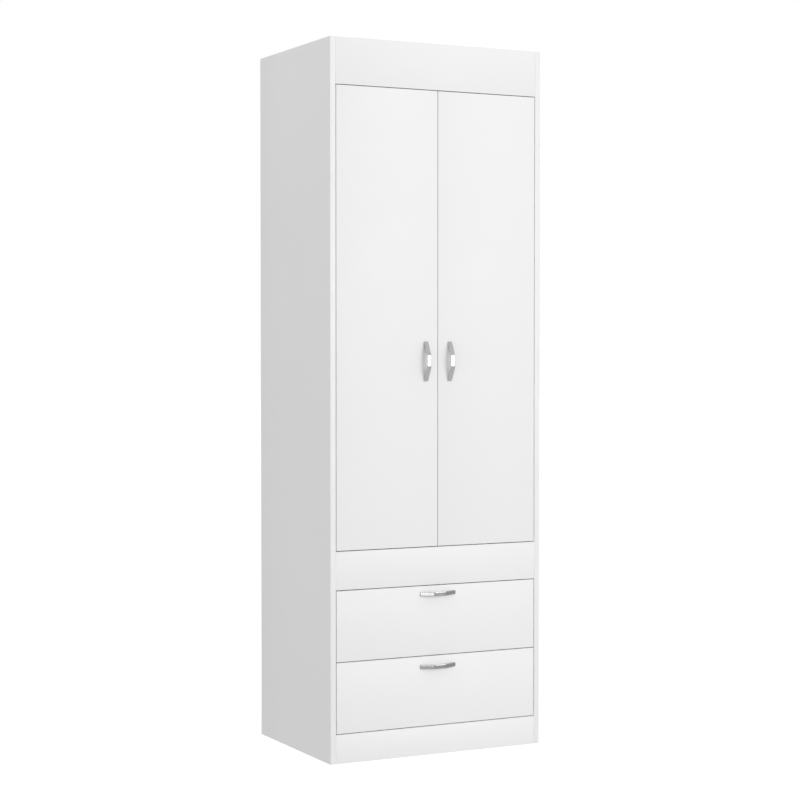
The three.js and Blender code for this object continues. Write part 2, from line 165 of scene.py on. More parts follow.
def make_floor():
    """A wide pale floor. It lights nothing, and glows a little to meet the backdrop seamlessly."""
    mesh = bpy.data.meshes.new("floor")
    quarters = ((-1, -1), (1, -1), (1, 1), (-1, 1))
    corners = [(x * FLOOR_REACH, y * FLOOR_REACH, 0) for x, y in quarters]
    mesh.from_pydata(corners, [], [(0, 1, 2, 3)])
    floor = bpy.data.objects.new("floor", mesh)
    scene.collection.objects.link(floor)
    floor.visible_diffuse = False
    floor.visible_glossy = False
    material = bpy.data.materials.new("pale_floor")
    material.use_nodes = True
    paint = material.node_tree.nodes["Principled BSDF"]
    paint.inputs["Base Color"].default_value = FLOOR_PAINT
    paint.inputs["Roughness"].default_value = 0.9
    paint.inputs["Specular IOR Level"].default_value = 0.0
    paint.inputs["Emission Color"].default_value = WHITE_LIGHT
    paint.inputs["Emission Strength"].default_value = FLOOR_GLOW
    mesh.materials.append(material)


# ---------- materials ----------


class Recipe:
    """A Principled material with patterns in the piece's own metres."""

    def __init__(self, name, roughness, metallic=0.0):
        self.material = bpy.data.materials.new(name)
        self.material.use_nodes = True
        tree = self.material.node_tree
        self.nodes, self.links = tree.nodes, tree.links
        self.shader = self.nodes["Principled BSDF"]
        self.shader.inputs["Metallic"].default_value = metallic
        self.shader.inputs["Roughness"].default_value = roughness
        self.place = self.nodes.new("ShaderNodeTexCoord").outputs["Object"]

    def stretched(self, stretch):
        """The piece's coordinates, squeezed along each axis by stretch."""
        mapping = self.nodes.new("ShaderNodeMapping")
        mapping.inputs["Scale"].default_value = stretch
        self.links.new(self.place, mapping.inputs["Vector"])
        return mapping.outputs["Vector"]

    def noise(self, size, detail, stretch=None):
        """Cloudy noise whose blotches are about size across."""
        node = self.nodes.new("ShaderNodeTexNoise")
        node.inputs["Scale"].default_value = 1 / size
        node.inputs["Detail"].default_value = detail
        place = self.place if stretch is None else self.stretched(stretch)
        self.links.new(place, node.inputs["Vector"])
        return node.outputs["Fac"]

    def cell_tones(self, size, stretch):
        """Small patches about size across, each with a grey of its own."""
        node = self.nodes.new("ShaderNodeTexVoronoi")
        node.inputs["Scale"].default_value = 1 / size
        self.links.new(self.stretched(stretch), node.inputs["Vector"])
        tone = self.nodes.new("ShaderNodeRGBToBW")
        self.links.new(node.outputs["Color"], tone.inputs["Color"])
        return tone.outputs["Val"]

    def spread(self, source, low, high, start=0.3, end=0.7):
        """source, from start to end, taken to low and high."""
        node = self.nodes.new("ShaderNodeMapRange")
        limits = {"From Min": start, "From Max": end, "To Min": low, "To Max": high}
        for name, value in limits.items():
            node.inputs[name].default_value = value
        self.links.new(source, node.inputs["Value"])
        return node.outputs["Result"]

    def blend(self, factor, first, second):
        """A colour between two, each a colour or another node's output."""
        node = self.nodes.new("ShaderNodeMix")
        node.data_type = "RGBA"
        self.links.new(factor, node.inputs["Factor"])
        for socket, value in ((node.inputs["A"], first), (node.inputs["B"], second)):
            self.give(socket, value)
        return node.outputs["Result"]

    def give(self, socket, value):
        """Sets a colour socket to a colour, or links it to another node's output."""
        if isinstance(value, tuple):
            socket.default_value = (*value, 1)
        else:
            self.links.new(value, socket)

    def colour(self, value):
        self.give(self.shader.inputs["Base Color"], value)

    def roughness(self, source):
        self.links.new(source, self.shader.inputs["Roughness"])

    def bump(self, source, height, strength):
        """Raises the surface by up to height where source is 1, on top of any earlier bump."""
        node = self.nodes.new("ShaderNodeBump")
        node.inputs["Strength"].default_value = strength
        node.inputs["Distance"].default_value = height
        self.links.new(source, node.inputs["Height"])
        normal = self.shader.inputs["Normal"]
        if normal.is_linked:
            self.links.new(normal.links[0].from_socket, node.inputs["Normal"])
        self.links.new(node.outputs["Normal"], normal)


def scaled(colour, factor):
    """The colour made lighter or darker by factor."""
    return tuple(min(1.0, part * factor) for part in colour)


def coated_board(name, colour, roughness):
    """White coated board: a fine pearl texture, faint cloudiness and soft patches of handling."""
    recipe = Recipe(name, roughness)
    recipe.shader.inputs["Specular IOR Level"].default_value = 0.36
    cloud = recipe.spread(recipe.noise(0.35, 4), 0, 1)
    specks = recipe.spread(recipe.noise(0.0016, 2), 0, 1, 0.2, 0.8)
    tint = recipe.blend(cloud, scaled(colour, 0.991), scaled(colour, 1.007))
    recipe.colour(recipe.blend(recipe.spread(specks, 0, 0.12, 0, 1), tint, scaled(colour, 0.9)))
    recipe.roughness(recipe.spread(recipe.noise(0.09, 5), roughness - 0.05, roughness + 0.07))
    recipe.bump(recipe.noise(0.0016, 2), 0.0001, 0.9)
    recipe.bump(recipe.noise(0.014, 2), 0.0001, 0.4)
    return recipe.material


def edge_band(name, colour, roughness):
    """The plastic band on a board's edges: smoother than the face, with fine drag lines."""
    recipe = Recipe(name, roughness)
    cloud = recipe.spread(recipe.noise(0.06, 3), 0, 1)
    recipe.colour(recipe.blend(cloud, scaled(colour, 0.97), scaled(colour, 1.0)))
    recipe.roughness(recipe.spread(recipe.noise(0.02, 4), roughness - 0.06, roughness + 0.06))
    recipe.bump(recipe.noise(0.0012, 2, (1, 1, 0.08)), 0.00002, 0.4)
    return recipe.material


def worn_arris(name, colour, grime, roughness):
    """A board's eased edge, rubbed smooth in places and a little grey in others."""
    recipe = Recipe(name, roughness)
    rubbed = recipe.spread(recipe.noise(0.03, 6), 0, 1, 0.42, 0.66)
    recipe.colour(recipe.blend(rubbed, colour, grime))
    recipe.roughness(recipe.spread(recipe.noise(0.01, 4), roughness - 0.1, roughness + 0.12))
    recipe.bump(recipe.noise(0.002, 3), 0.00003, 0.5)
    return recipe.material


def raw_chipboard():
    """The uncovered edge of particle board: pressed chips in several browns, with small pits."""
    recipe = Recipe("raw_chipboard", 0.9)
    chip_tone = recipe.spread(recipe.cell_tones(0.0032, (1, 1, 1.6)), 0, 1, 0.1, 0.9)
    wood = recipe.blend(chip_tone, (0.36, 0.25, 0.15), (0.66, 0.52, 0.36))
    pits = recipe.spread(recipe.noise(0.0022, 4), 0, 0.7, 0.56, 0.72)
    recipe.colour(recipe.blend(pits, wood, (0.2, 0.14, 0.09)))
    recipe.bump(recipe.noise(0.002, 4), 0.0004, 0.8)
    return recipe.material


def raw_hardboard():
    """The rough brown back of a hardboard sheet: matted fibres and the press's wire mesh."""
    recipe = Recipe("raw_hardboard", 0.85)
    fibres = recipe.noise(0.004, 6, (1, 1, 0.35))
    clouds = recipe.spread(recipe.noise(0.22, 4), 0, 1)
    base = recipe.blend(clouds, (0.33, 0.2, 0.105), (0.42, 0.27, 0.15))
    recipe.colour(recipe.blend(recipe.spread(fibres, 0, 0.6, 0.35, 0.7), base, (0.24, 0.14, 0.07)))
    for direction in ("X", "Z"):
        wave = recipe.nodes.new("ShaderNodeTexWave")
        wave.bands_direction = direction
        wave.inputs["Scale"].default_value = 90
        wave.inputs["Distortion"].default_value = 0.6
        recipe.links.new(recipe.place, wave.inputs["Vector"])
        recipe.bump(wave.outputs["Fac"], 0.00012, 0.5)
    recipe.roughness(recipe.spread(fibres, 0.72, 0.95))
    recipe.bump(fibres, 0.0003, 0.5)
    return recipe.material


def plated_metal(name, colour, roughness, along, mark=0.12):
    """Plated metal: fine lines along one axis, slight cloudiness, and wear as strong as mark."""
    recipe = Recipe(name, roughness, 1.0)
    stretch = {"x": (0.04, 1, 1), "y": (1, 0.04, 1), "z": (1, 1, 0.04)}[along]
    lines = recipe.noise(0.0006, 3, stretch)
    clouds = recipe.spread(recipe.noise(0.03, 4), 0, 1)
    tone = recipe.blend(clouds, scaled(colour, 0.93), scaled(colour, 1.04))
    marks = recipe.spread(recipe.noise(0.006, 5), 0, mark, 0.55, 0.75)
    recipe.colour(recipe.blend(marks, tone, scaled(colour, 0.7)))
    recipe.roughness(recipe.spread(lines, roughness - 0.06, roughness + 0.1))
    recipe.bump(lines, 0.00001, 0.35)
    return recipe.material


def polished_arris(name, colour, roughness):
    """The rubbed bright edge of a plated part."""
    recipe = Recipe(name, roughness, 1.0)
    rubbed = recipe.spread(recipe.noise(0.005, 4), 0, 1)
    recipe.colour(recipe.blend(rubbed, colour, scaled(colour, 1.15)))
    recipe.roughness(recipe.spread(recipe.noise(0.003, 3), roughness - 0.05, roughness + 0.08))
    return recipe.material


def moulded_plastic(name, colour, roughness):
    """Moulded plastic: fine spark texture, upright flow lines and a little colour drift."""
    recipe = Recipe(name, roughness)
    drift = recipe.spread(recipe.noise(0.05, 3), 0, 1)
    recipe.colour(recipe.blend(drift, scaled(colour, 0.96), scaled(colour, 1.03)))
    flow = recipe.noise(0.004, 3, (1, 1, 0.1))
    recipe.roughness(recipe.spread(flow, roughness - 0.06, roughness + 0.08))
    recipe.bump(recipe.noise(0.0007, 2), 0.00003, 0.6)
    return recipe.material


WHITE = (0.872, 0.873, 0.874)
BAND_WHITE = (0.866, 0.867, 0.868)
NICKEL = (0.57, 0.57, 0.575)
ZINC = (0.62, 0.64, 0.66)

# The places of a finish's materials. Plain finishes have only the first, or the first two.
FACE, ARRIS, BAND, RAW = range(4)
HARDBOARD_BACK = 2

BOARD_FINISH = [
    coated_board("white_coating", WHITE, 0.5),
    worn_arris("white_arris", scaled(WHITE, 0.98), (0.66, 0.655, 0.64), 0.4),
    edge_band("white_edge_band", BAND_WHITE, 0.46),
    raw_chipboard(),
]
DRAWER_FINISH = [coated_board("drawer_foil", scaled(WHITE, 0.97), 0.5), *BOARD_FINISH[1:]]
HARDBOARD_FINISH = [
    coated_board("lacquered_hardboard", scaled(WHITE, 0.96), 0.55),
    worn_arris("hardboard_arris", (0.45, 0.32, 0.2), (0.3, 0.2, 0.12), 0.8),
    raw_hardboard(),
]
HANDLE_FINISH = {
    0: [plated_metal("satin_nickel_x", NICKEL, 0.18, "x", 0.06)],
    2: [plated_metal("satin_nickel_z", NICKEL, 0.18, "z", 0.06)],
}
HINGE_FINISH = [
    plated_metal("hinge_plate", NICKEL, 0.28, "z"),
    polished_arris("hinge_edge", NICKEL, 0.22),
]
RUNNER_FINISH = [
    plated_metal("zinc_plate", ZINC, 0.34, "y"),
    polished_arris("zinc_edge", ZINC, 0.26),
]
CHROME_FINISH = [
    plated_metal("chrome_plate", (0.78, 0.78, 0.79), 0.1, "x", 0.05),
    polished_arris("chrome_edge", (0.8, 0.8, 0.81), 0.1),
]
PLASTIC_FINISH = [
    moulded_plastic("white_moulding", (0.8, 0.8, 0.79), 0.45),
    moulded_plastic("white_moulding_edge", (0.84, 0.84, 0.83), 0.38),
]
CAGE_FINISH = [
    moulded_plastic("natural_acetal", (0.74, 0.73, 0.69), 0.5),
    moulded_plastic("natural_acetal_edge", (0.8, 0.79, 0.75), 0.42),
]
SCREW_FINISH = [plated_metal("screw_plate", scaled(ZINC, 0.9), 0.3, "z", 0.3)]
DARK_STEEL = [plated_metal("magnet_pole", (0.3, 0.3, 0.31), 0.38, "x", 0.3)]


# ---------- making pieces ----------


def add_piece(name, mesh, body):
    """A visible piece that moves with a body."""
    piece = bpy.data.objects.new(name, mesh)
    scene.collection.objects.link(piece)
    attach(piece, body)
    return piece


def finished_mesh(piece):
    """The piece's mesh with its modifiers applied."""
    bpy.context.view_layer.update()
    graph = bpy.context.evaluated_depsgraph_get()
    mesh = bpy.data.meshes.new_from_object(piece.evaluated_get(graph))
    piece.modifiers.clear()
    piece.data = mesh
    return mesh


def shade(mesh, angle=35):
    """Smooth across shallow bends and crisp across sharp ones."""
    mesh.shade_smooth()
    mesh.set_sharp_from_angle(angle=math.radians(angle))


def give_finish(mesh, finish):
    for material in finish:
        mesh.materials.append(material)


def closed_mesh(name, shape):
    """The shape as a mesh, with its faces turned outwards."""
    bmesh.ops.recalc_face_normals(shape, faces=shape.faces)
    mesh = bpy.data.meshes.new(name)
    shape.to_mesh(mesh)
    shape.free()
    return mesh


BODY_OF = {
    node: body
    for body, nodes in frame["record"]["behaviour"]["bodies"].items()
    for node in nodes
}
# Points nearer than WELD are joined. Bends under FLAT_ENOUGH go, and those over SHARP_ENOUGH are
# eased.
WELD = 0.01 * MM
FLAT_ENOUGH = math.radians(1)
SHARP_ENOUGH = math.radians(40)


def eased(node, finish, ease, sort_face=None, segments=2):
    """A piece with the node's shape and its sharp edges eased."""
    mesh = frame["nodes"][node].data.copy()
    mesh.name = node + "_eased"
    mesh.materials.clear()
    give_finish(mesh, finish)
    shape = bmesh.new()
    shape.from_mesh(mesh)
    bmesh.ops.remove_doubles(shape, verts=shape.verts, dist=WELD)
    bmesh.ops.dissolve_limit(shape, angle_limit=FLAT_ENOUGH, verts=shape.verts, edges=shape.edges)
    for face in shape.faces:
        face.normal_update()
        face.material_index = sort_face(face) if sort_face else FACE
    shape.to_mesh(mesh)
    shape.free()
    if "custom_normal" in mesh.attributes:
        mesh.attributes.remove(mesh.attributes["custom_normal"])
    piece = add_piece(node + "_dressed", mesh, BODY_OF[node])
    bevel = piece.modifiers.new("ease", "BEVEL")
    bevel.width = ease
    bevel.segments = segments
    bevel.limit_method = "ANGLE"
    bevel.angle_limit = SHARP_ENOUGH
    bevel.material = ARRIS
    shade(finished_mesh(piece))
    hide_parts(node)
    return piece


def merged(name, shapes, finish, body):
    """One piece made of several small solids, each given as a mesh and where it goes."""
    whole = bmesh.new()
    for mesh, matrix in shapes:
        copy = mesh.copy()
        copy.transform(matrix)
        whole.from_mesh(copy)
        bpy.data.meshes.remove(copy)
    mesh = bpy.data.meshes.new(name)
    whole.to_mesh(mesh)
    whole.free()
    give_finish(mesh, finish)
    shade(mesh)
    add_piece(name, mesh, body)


def turned(profile, segments=20):
    """A closed solid turned about Z. The profile runs from the axis out and back to it."""
    shape = bmesh.new()
    turns = [2 * math.pi * step / segments for step in range(segments)]
    rings = []
    for radius, height in profile:
        if radius < WELD:
            places = [(0, 0, height)]
        else:
            places = [(radius * math.cos(turn), radius * math.sin(turn), height) for turn in turns]
        rings.append([shape.verts.new(place) for place in places])
    for low, high in zip(rings, rings[1:]):
        for step in range(segments):
            around = ((low, step), (low, step + 1), (high, step + 1), (high, step))
            # On the axis a ring is one point, so two of the four corners are the same.
            corners = dict.fromkeys(ring[place % len(ring)] for ring, place in around)
            shape.faces.new(corners)
    return closed_mesh("turned", shape)


def bar(width, height, depth, taper=1.0):
    """A box about the origin, narrower at its low end by taper."""
    shape = bmesh.new()
    bmesh.ops.create_cube(shape, size=1)
    for vert in shape.verts:
        narrow = taper if vert.co.z < 0 else 1.0
        vert.co *= Vector((width * narrow, height * narrow, depth))
    return closed_mesh("bar", shape)


def carved(mesh, tools):
    """The mesh with each tool, a mesh and its place, cut out of it."""
    piece = bpy.data.objects.new("carving", mesh)
    scene.collection.objects.link(piece)
    helpers = []
    for tool, matrix in tools:
        helper = bpy.data.objects.new("tool", tool)
        helper.matrix_world = matrix
        scene.collection.objects.link(helper)
        helpers.append(helper)
        cutter = piece.modifiers.new("cut", "BOOLEAN")
        cutter.object = helper
        cutter.operation = "DIFFERENCE"
        cutter.solver = "EXACT"
    result = finished_mesh(piece)
    for helper in [piece, *helpers]:
        bpy.data.objects.remove(helper)
    return result


def oblong(length, height, depth, end_steps=10):
    """A closed block lying along Y with half-round ends, its depth along X."""
    radius = height / 2
    outline = []
    for way in (1, -1):
        for step in range(end_steps + 1):
            angle = math.pi * (step / end_steps - 0.5)
            y = way * (length / 2 - radius + radius * math.cos(angle))
            outline.append((y, way * radius * math.sin(angle)))
    shape = bmesh.new()
    near = [shape.verts.new((-depth / 2, y, z)) for y, z in outline]
    far = [shape.verts.new((depth / 2, y, z)) for y, z in outline]
    shape.faces.new(near)
    shape.faces.new(list(reversed(far)))
    count = len(outline)
    for step in range(count):
        after = (step + 1) % count
        shape.faces.new([near[step], far[step], far[after], near[after]])
    return closed_mesh("oblong", shape)


def facing(place, axis):
    """Puts a solid that stands on Z = 0 at place, standing along axis."""
    return Matrix.Translation(place) @ Vector(axis).to_track_quat("Z", "Y").to_matrix().to_4x4()


# A recess blade: its thickness over its length, its low end over its high end, and how far below
# the head's top its middle lies, over its depth.
BLADE_SHARE = 0.24
BLADE_TAPER = 0.55
BLADE_SINK = 0.35


def in_mm(*profile):
    """A profile's radii and heights, given in mm, in metres."""
    return [(radius * MM, height * MM) for radius, height in profile]


def cross_slotted(head, top, size, depth):
    """The head with a cross recess of two tapered blades cut into its top."""
    blade = bar(size, size * BLADE_SHARE, depth, BLADE_TAPER)
    down = Matrix.Translation((0, 0, top - depth * BLADE_SINK))
    return carved(head, [(blade, down), (blade, down @ Matrix.Rotation(math.pi / 2, 4, "Z"))])


def screw_head(radius, height):
    """A low domed head with a cross recess, standing on Z = 0 and let in a little below it."""
    profile = [
        (0, -0.2 * MM),
        (radius * 0.86, -0.2 * MM),
        (radius, 0.1 * MM),
        (radius * 0.97, height * 0.45),
        (radius * 0.8, height * 0.85),
        (radius * 0.45, height),
        (0, height),
    ]
    return cross_slotted(turned(profile), height, radius * 1.15, height * 1.3)


def cam_disc():
    """A cam fitting's face, almost flush in its bore, with a plain rim round it."""
    profile = in_mm(
        (0, -0.3), (7.4, -0.3), (7.4, 0.1), (7.1, 0.35), (6.2, 0.35),
        (6, 0.1), (5.2, 0.1), (5, 0.3), (0, 0.3),
    )
    return cross_slotted(turned(profile, segments=24), 0.3 * MM, 6.6 * MM, 1 * MM)


def runner_ball(radius, steps=8):
    angles = [math.pi * step / steps for step in range(steps + 1)]
    profile = [(radius * math.sin(angle), radius * -math.cos(angle)) for angle in angles]
    return turned(profile, segments=14)


PAN_SCREW = screw_head(3.6 * MM, 1.8 * MM)
SMALL_SCREW = screw_head(2.8 * MM, 1.2 * MM)
HANDLE_SCREW = screw_head(4.0 * MM, 2.2 * MM)
CAM_DISC = cam_disc()
NAIL_PROFILE = in_mm((0, -0.1), (1.5, -0.1), (1.7, 0.1), (1.3, 0.3), (0, 0.38))
NAIL_HEAD = turned(NAIL_PROFILE, segments=12)
BALL = runner_ball(2.05 * MM)


# ---------- boards ----------


def board_faces(thin_axis, raw=()):
    """Sorts a board's faces: broad faces, banded edges, and raw edges, which face the raw ways."""

    def sort_face(face):
        normal = face.normal
        slanting = max(abs(part) for part in normal) < 0.9
        if abs(normal[thin_axis]) > 0.7 or slanting:
            return FACE
        for direction in raw:
            if normal.dot(Vector(direction)) > 0.9:
                return RAW
        return BAND

    return sort_face


FORWARDS = (0, -1, 0)
BACKWARDS = (0, 1, 0)
DOWNWARDS = (0, 0, -1)
ENDS = ((1, 0, 0), (-1, 0, 0))
BOARD_EASE = 0.5 * MM
HARDBOARD_EASE = 0.2 * MM
STRIP_EASE = 0.25 * MM


def dress_boards():
    for side in SIDES:
        raw_sides = board_faces(0, [BACKWARDS, DOWNWARDS])
        eased(f"{side}_side_panel", BOARD_FINISH, BOARD_EASE, raw_sides)
        eased(f"{side}_door_panel", BOARD_FINISH, BOARD_EASE, board_faces(1))
    for board in LEVEL_BOARDS:
        eased(board, BOARD_FINISH, BOARD_EASE, board_faces(2, [BACKWARDS, *ENDS]))
    for board in ("fascia_board", "mid_rail"):
        eased(board, BOARD_FINISH, BOARD_EASE, board_faces(1, ENDS))
    for board in ("plinth_board", "rear_plinth"):
        eased(board, BOARD_FINISH, BOARD_EASE, board_faces(1, [DOWNWARDS, *ENDS]))
    for name in DRAWERS:
        eased(f"{name}_drawer_front", BOARD_FINISH, BOARD_EASE, board_faces(1))
        eased(f"{name}_drawer_back", DRAWER_FINISH, BOARD_EASE, board_faces(1, ENDS))
        for side in SIDES:
            raw_back = board_faces(0, [BACKWARDS])
            eased(f"{name}_drawer_{side}_side", DRAWER_FINISH, BOARD_EASE, raw_back)


def hardboard_faces(rough_way):
    """Sorts a sheet's faces: the rough one faces rough_way, and the lacquered one the other way."""

    def sort_face(face):
        along = face.normal.dot(Vector(rough_way))
        if along > 0.9:
            return HARDBOARD_BACK
        return FACE if along < -0.9 else ARRIS

    return sort_face


def dress_hardboard():
    for sheet in BACK_SHEETS:
        eased(sheet, HARDBOARD_FINISH, HARDBOARD_EASE, hardboard_faces(BACKWARDS))
    for name in DRAWERS:
        eased(f"{name}_drawer_floor", HARDBOARD_FINISH, HARDBOARD_EASE, hardboard_faces(DOWNWARDS))
    eased("back_joint_strip", PLASTIC_FINISH, STRIP_EASE)


# ---------- handles ----------


BOW_END_HEIGHT = 3 * MM
# How much lower the end is at its foot, as a share of its height.
BOW_END_SAG = 0.05
# Half the lengths of the flat middle, on top and underneath.
BOW_FLAT = 16 * MM
BOW_UNDER_FLAT = 15 * MM
BOW_BEND = 5 * MM
BOW_STRAP = 4 * MM
BOW_FOOT = 10 * MM
BOW_STEPS = 44
# How much closer the stations stand towards the bow's end.
BOW_CROWDING = 1.25
# Round the foot: the share of it still to go, and the share of the strap's width there.
BOW_HEEL = [(0.66, 1.0), (0.33, 1.0), (0.12, 0.98), (0.04, 0.94), (0.0, 0.86)]
# Round the strap's section: the share of its width from the middle, and of its thickness.
BOW_SECTION = [
    (-0.43, 0), (-0.48, 0.05), (-0.5, 0.18), (-0.5, 0.7), (-0.49, 0.86), (-0.465, 0.95),
    (-0.42, 0.99), (-0.36, 1), (-0.2, 1), (0, 1), (0.2, 1), (0.36, 1), (0.42, 0.99),
    (0.465, 0.95), (0.49, 0.86), (0.5, 0.7), (0.5, 0.18), (0.48, 0.05), (0.43, 0),
    (0.2, 0), (0, 0), (-0.2, 0),
]


def soft_least(first, second, blend):
    """The lower of two heights, with the corner between them rounded over."""
    overlap = max(blend - abs(first - second), 0) / blend
    return min(first, second) - overlap * overlap * blend / 4


def bow_stations(half_length, rise):
    """Stations along half the bow, from its middle to its end.

    Each has an outer and an inner place, as how far along and how high, and a share of the width.
    """
    heel = half_length - BOW_FOOT
    under = rise - BOW_STRAP
    outer_lean = (rise - BOW_END_HEIGHT) / (half_length - BOW_FLAT)
    inner_lean = under / (heel - BOW_UNDER_FLAT)
    stations = []
    for step in range(BOW_STEPS + 1):
        outer = half_length * (1 - (1 - step / BOW_STEPS) ** BOW_CROWDING)
        outer_line = BOW_END_HEIGHT + (half_length - outer) * outer_lean
        outer_height = soft_least(rise, outer_line, outer_lean * BOW_BEND)
        inner = outer * heel / half_length
        inner_height = soft_least(under, (heel - inner) * inner_lean, inner_lean * BOW_BEND)
        stations.append(((outer, outer_height), (inner, inner_height), 1.0))
    for spare, width in BOW_HEEL:
        inner = half_length - BOW_FOOT * spare
        height = BOW_END_HEIGHT * (1 - BOW_END_SAG * (1 - spare))
        stations.append(((half_length, height), (inner, 0), width))
    return stations


def bow_handle(node, axis):
    """The bow as a flat strap with soft edges, lying along axis and closed at both ends."""
    low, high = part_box(node)
    centre = (low + high) / 2
    half = bow_stations((high - low)[axis] / 2, high.y - low.y)
    whole = [(-1, station) for station in reversed(half)] + [(1, station) for station in half[1:]]
    strap_width = (high - low)[2 - axis]
    shape = bmesh.new()
    rings = []
    for way, (outer, inner, width) in whole:
        ring = []
        for across, share in BOW_SECTION:
            place = Vector(centre)
            place[axis] += way * (inner[0] + share * (outer[0] - inner[0]))
            place[2 - axis] += across * width * strap_width
            place.y = high.y - (inner[1] + share * (outer[1] - inner[1]))
            ring.append(shape.verts.new(place))
        rings.append(ring)
    count = len(BOW_SECTION)
    for first, second in zip(rings, rings[1:]):
        for corner in range(count):
            after = (corner + 1) % count
            shape.faces.new([first[corner], first[after], second[after], second[corner]])
    shape.faces.new(rings[0])
    shape.faces.new(list(reversed(rings[-1])))
    mesh = closed_mesh(node + "_bow", shape)
    give_finish(mesh, HANDLE_FINISH[axis])
    shade(mesh, angle=50)
    piece = add_piece(node + "_bow", mesh, BODY_OF[node])
    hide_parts(node)


def handle_screws(node, panel, axis, body):
    """Two pan-head screws on the inner face of the board, behind the handle's feet."""
    low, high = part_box(node)
    centre = (low + high) / 2
    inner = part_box(panel)[1].y
    shapes = []
    for way in (-1, 1):
        place = Vector(centre)
        place[axis] += way * ((high - low)[axis] - BOW_FOOT) / 2
        place.y = inner
        shapes.append((HANDLE_SCREW, facing(place, BACKWARDS)))
    merged(node + "_screws", shapes, SCREW_FINISH, body)


def dress_handles():
    for side in SIDES:
        bow_handle(f"{side}_door_handle", 2)
        handle_screws(f"{side}_door_handle", f"{side}_door_panel", 2, f"{side}_door")
    for name in DRAWERS:
        bow_handle(f"{name}_drawer_handle", 0)
        handle_screws(f"{name}_drawer_handle", f"{name}_drawer_front", 0, f"{name}_drawer")


# ---------- hinges, rod and catch ----------


CUP_EASE = 0.25 * MM
ARM_EASE = 0.5 * MM
ROD_EASE = 0.2 * MM
SOCKET_EASE = 0.4 * MM
CATCH_EASE = 1.2 * MM
STRIKE_EASE = 0.3 * MM
# Where the screws and poles sit: reaches are from a middle, setbacks are from the front.
CUP_SCREW_REACH = 24 * MM
PLATE_THICKNESS = 3.5 * MM
PLATE_SETBACK = 53 * MM
PLATE_SCREW_REACH = 16 * MM
TAIL_HEIGHT = 12 * MM
TAIL_SCREW_PLACES = (-7 * MM, 9 * MM)
SOCKET_FLANGE = 2.5 * MM
SOCKET_SCREW_REACH = 15.5 * MM
POLE_SIZE = (13 * MM, 1.4 * MM, 0.3 * MM)
POLE_REACH = 2.6 * MM
POLE_PROUD = 0.05 * MM
CATCH_SCREW_REACH = 18 * MM
# The catch's screws are this far behind its middle.
CATCH_SCREW_SHIFT = 6 * MM


def dress_hinges():
    for side, sign in SIDES.items():
        inwards = (-sign, 0, 0)
        cup_screws, arm_screws = [], []
        for level in LEVELS:
            eased(f"{side}_{level}_hinge_cup", HINGE_FINISH, CUP_EASE)
            eased(f"{side}_{level}_hinge_arm", HINGE_FINISH, ARM_EASE)
            low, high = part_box(f"{side}_{level}_hinge_cup")
            middle = (low + high) / 2
            for way in (-1, 1):
                place = (middle.x, high.y, middle.z + way * CUP_SCREW_REACH)
                cup_screws.append((PAN_SCREW, facing(place, BACKWARDS)))
            low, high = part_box(f"{side}_{level}_hinge_arm")
            wall = low.x if sign < 0 else high.x
            middle_z = (low.z + high.z) / 2
            plate_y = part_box(f"{side}_door_panel")[0].y + PLATE_SETBACK
            for way in (-1, 1):
                height = middle_z + way * PLATE_SCREW_REACH
                place = (wall - sign * PLATE_THICKNESS, plate_y, height)
                arm_screws.append((PAN_SCREW, facing(place, inwards)))
            for along in TAIL_SCREW_PLACES:
                place = (wall - sign * TAIL_HEIGHT, plate_y + along, middle_z)
                arm_screws.append((SMALL_SCREW, facing(place, inwards)))
        merged(f"{side}_hinge_cup_screws", cup_screws, SCREW_FINISH, f"{side}_door")
        merged(f"{side}_hinge_arm_screws", arm_screws, SCREW_FINISH, "carcass")


def dress_rod():
    eased("hanging_rod", CHROME_FINISH, ROD_EASE)
    rod_low, rod_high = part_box("hanging_rod")
    middle = (rod_low + rod_high) / 2
    shapes = []
    for side, sign in SIDES.items():
        node = f"{side}_rod_socket"
        eased(node, CHROME_FINISH, SOCKET_EASE)
        low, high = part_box(node)
        flange = low.x + SOCKET_FLANGE if sign < 0 else high.x - SOCKET_FLANGE
        for way in (-1, 1):
            place = (flange, middle.y + way * SOCKET_SCREW_REACH, middle.z)
            shapes.append((SMALL_SCREW, facing(place, (-sign, 0, 0))))
    merged("rod_socket_screws", shapes, SCREW_FINISH, "carcass")


def dress_catch():
    eased("door_catch", PLASTIC_FINISH, CATCH_EASE, segments=3)
    low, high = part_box("door_catch")
    poles = []
    for side in SIDES:
        strike_low, strike_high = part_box(f"{side}_strike_plate")
        strike = (strike_low + strike_high) / 2
        for way in (-1, 1):
            place = (strike.x, low.y - POLE_PROUD, strike.z + way * POLE_REACH)
            poles.append((bar(*POLE_SIZE), facing(place, FORWARDS)))
        screw = (SMALL_SCREW, facing((strike.x, strike_high.y, strike.z), BACKWARDS))
        eased(f"{side}_strike_plate", RUNNER_FINISH, STRIKE_EASE)
        merged(f"{side}_strike_screw", [screw], SCREW_FINISH, f"{side}_door")
    merged("catch_poles", poles, DARK_STEEL, "carcass")
    screw_y = (low.y + high.y) / 2 + CATCH_SCREW_SHIFT
    screws = [
        (PAN_SCREW, facing((way * CATCH_SCREW_REACH, screw_y, low.z), DOWNWARDS))
        for way in (-1, 1)
    ]
    merged("catch_screws", screws, SCREW_FINISH, "carcass")


# ---------- runners ----------


RAIL_EASE = 0.35 * MM
CAGE_EASE = 0.2 * MM
WEB = 1.2 * MM
SLOT = oblong(16 * MM, 5 * MM, 3 * MM)
# How far behind a rail's front end its slots and its screws are.
SLOT_PLACES = (0.06, 0.105, 0.19, 0.255)
SCREW_PLACES = (0.022, 0.15, 0.31)
BALLS_IN_ROW = 7
BALL_OFF_WALL = 6.4 * MM
BALL_ROW_REACH = 14.15 * MM


